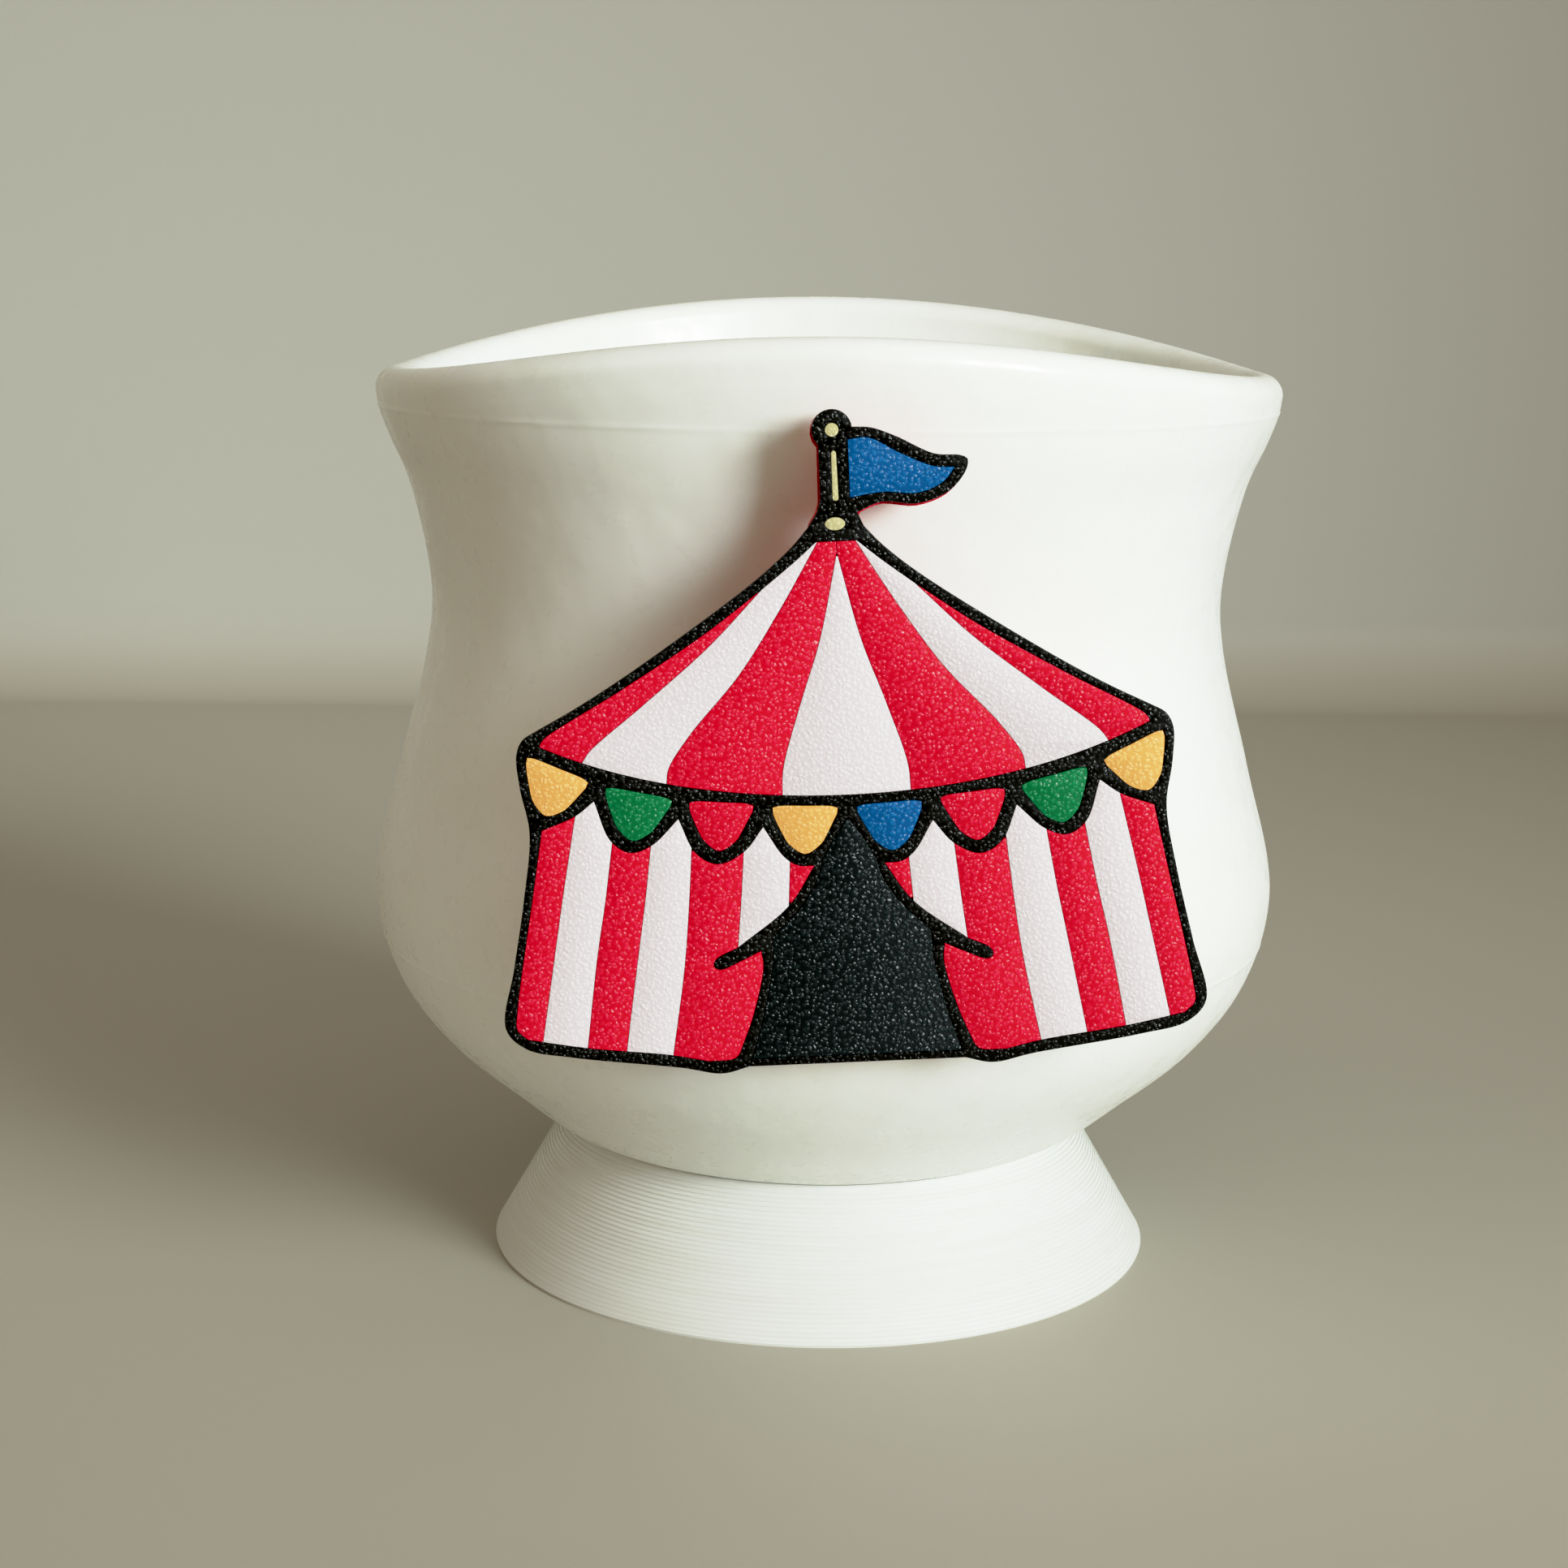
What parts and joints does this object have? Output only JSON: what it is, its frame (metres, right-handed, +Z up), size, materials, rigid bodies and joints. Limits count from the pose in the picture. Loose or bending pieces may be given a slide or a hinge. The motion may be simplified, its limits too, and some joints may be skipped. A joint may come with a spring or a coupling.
{
  "type": "waisted vessel on a foot ring with a carnival tent plate",
  "caption": "White waisted open vessel on a flared foot ring, with a flat striped carnival tent plate of inlaid coloured pieces fixed to its front.",
  "frame": {"origin": "centre of the bounding box at table height, on the table plane", "axes": "+Z up, -Y towards the front that carries the tent plate, +X to the right as seen from the front"},
  "size_m": [0.1038, 0.108, 0.1096],
  "materials": {
    "milky": "satin moulded, milky white",
    "ring": "matt printed, white",
    "red": "pebbled printed, red",
    "white": "pebbled printed, white",
    "black": "pebbled printed, black",
    "slate": "pebbled printed, dark slate",
    "green": "pebbled printed, green",
    "blue": "pebbled printed, blue",
    "yellow": "pebbled printed, yellow",
    "straw": "pebbled printed, straw",
    "pad": "foam pad"
  },
  "bodies": {
    "root": {"vessel_bowl": "milky", "foot_ring": "ring", "backing_plate": "red", "mounting_boss": "red", "mounting_pad": "pad", "black_outline": "black", "doorway_panel": "slate", "flag_panel": "blue", "finial_bead": "straw", "pole_highlight": "straw", "collar_bead": "straw", "roof_panel_1": "red", "roof_panel_2": "white", "roof_panel_3": "red", "roof_panel_4": "white", "roof_panel_5": "red", "roof_panel_6": "white", "roof_panel_7": "red", "wall_left_1": "red", "wall_left_2": "white", "wall_left_3": "red", "wall_left_4": "white", "wall_left_5": "red", "wall_left_6": "white", "wall_left_7": "red", "wall_right_1": "red", "wall_right_2": "white", "wall_right_3": "red", "wall_right_4": "white", "wall_right_5": "red", "wall_right_6": "white", "wall_right_7": "red", "pennant_1": "yellow", "pennant_2": "green", "pennant_3": "red", "pennant_4": "yellow", "pennant_5": "blue", "pennant_6": "red", "pennant_7": "green", "pennant_8": "yellow"}
  },
  "joints": []
}
